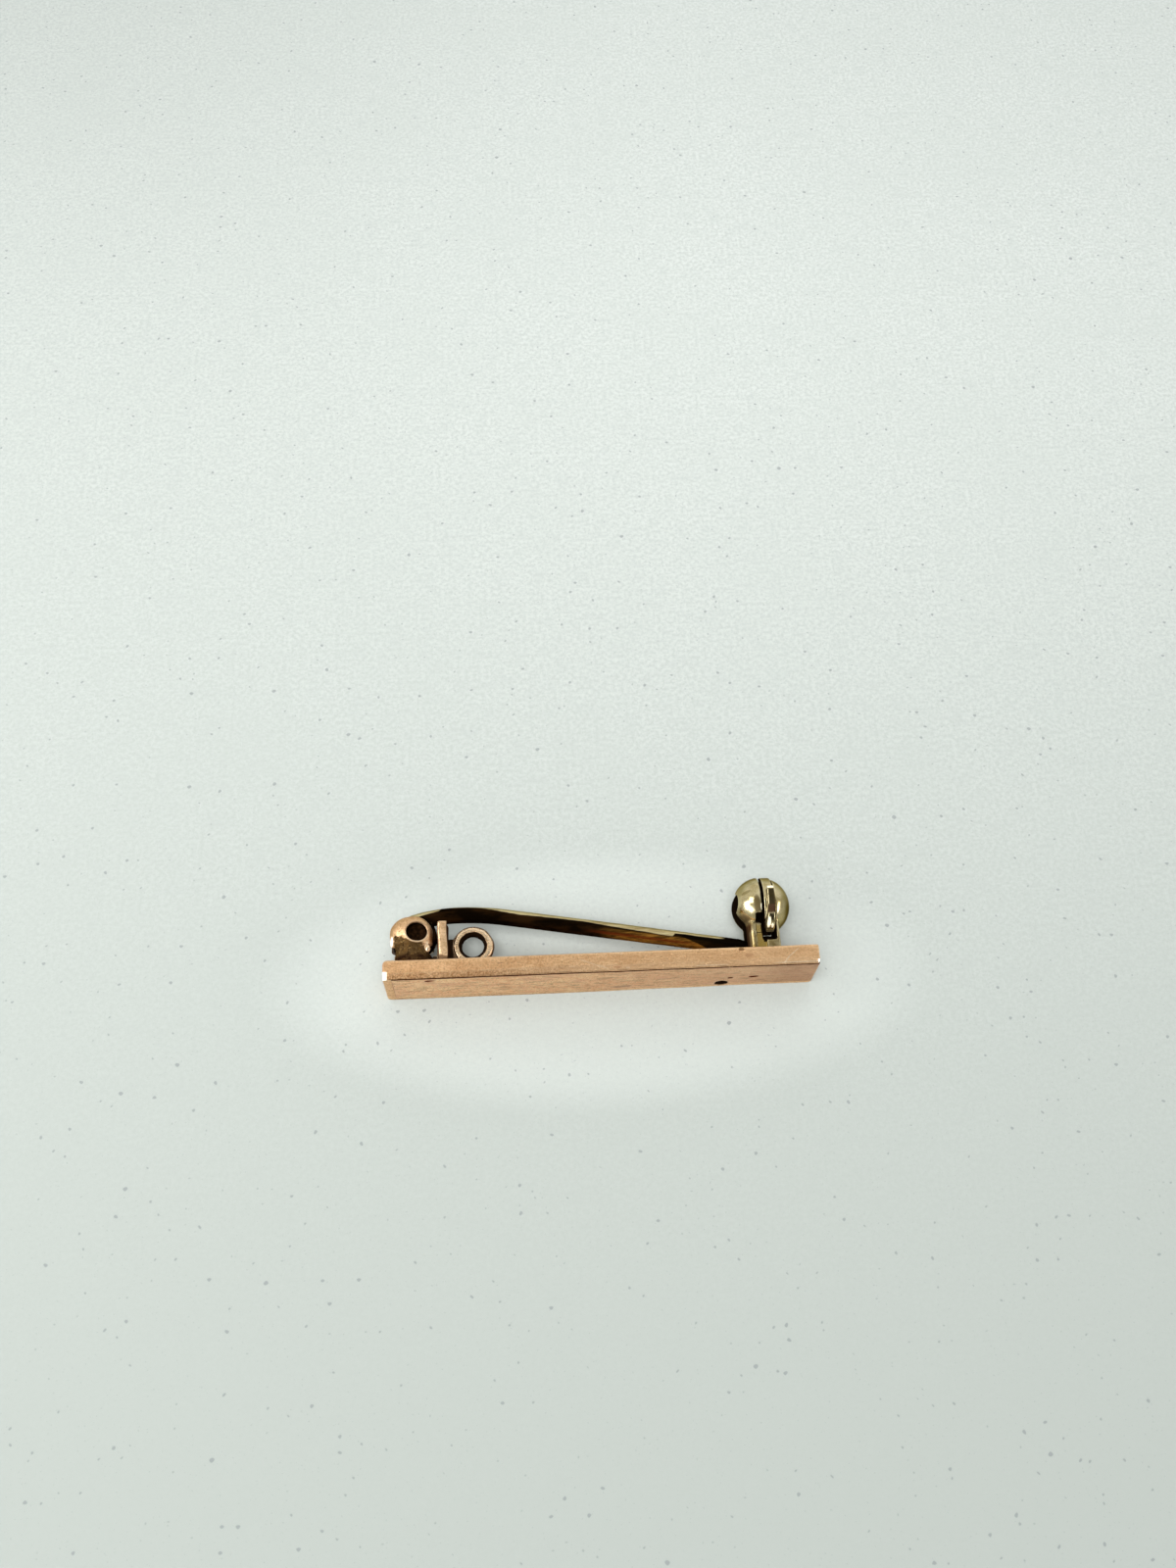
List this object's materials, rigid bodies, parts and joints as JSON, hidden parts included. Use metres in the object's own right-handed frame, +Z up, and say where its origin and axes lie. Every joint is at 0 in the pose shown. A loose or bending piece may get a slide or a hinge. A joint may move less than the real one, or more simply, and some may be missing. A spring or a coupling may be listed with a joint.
{
  "type": "bar brooch",
  "caption": "Slim gold bar brooch with an arched pin on a slotted ball joint, a stop plate, a safety chain ring and a ball catch that turns to lock, shown unfastened on one long edge.",
  "frame": {"origin": "middle of the bar's long lower edge face, on the surface that the brooch lies on", "axes": "+X along the bar from the pin's hinge to the catch, +Y from the bar's front face to the fittings behind it, +Z up across the bar's width"},
  "size_m": [0.03, 0.0071, 0.0046],
  "materials": {
    "back_tray": "rose gold, worn satin, with tarnish round the fittings",
    "front_plate": "rose gold, worn satin, fine marks along the bar",
    "hinge_rivet": "dark, dull, recessed ends",
    "pin_stem": "yellow gold, polished, dark with tarnish",
    "catch_shell": "greenish yellow gold, polished",
    "catch_rotor": "greenish yellow gold, polished, worn at the thumb tab"
  },
  "bodies": {
    "brooch": {"back_tray": "back_tray", "front_plate": "front_plate", "hinge_rivet": "hinge_rivet", "catch_shell": "catch_shell"},
    "pin": {"pin_stem": "pin_stem"},
    "rotor": {"catch_rotor": "catch_rotor"}
  },
  "joints": [
    {"name": "pin_hinge", "type": "hinge", "parent": "brooch", "child": "pin", "pos_m": [-0.01276, 0.003, 0.0021], "axis": [0, 0, 1], "range_deg": [0, 75]},
    {"name": "rotor_turn", "type": "hinge", "parent": "brooch", "child": "rotor", "pos_m": [0.01193, 0.00437, 0.0021], "axis": [-1, 0, 0], "range_deg": [0, 90]}
  ]
}
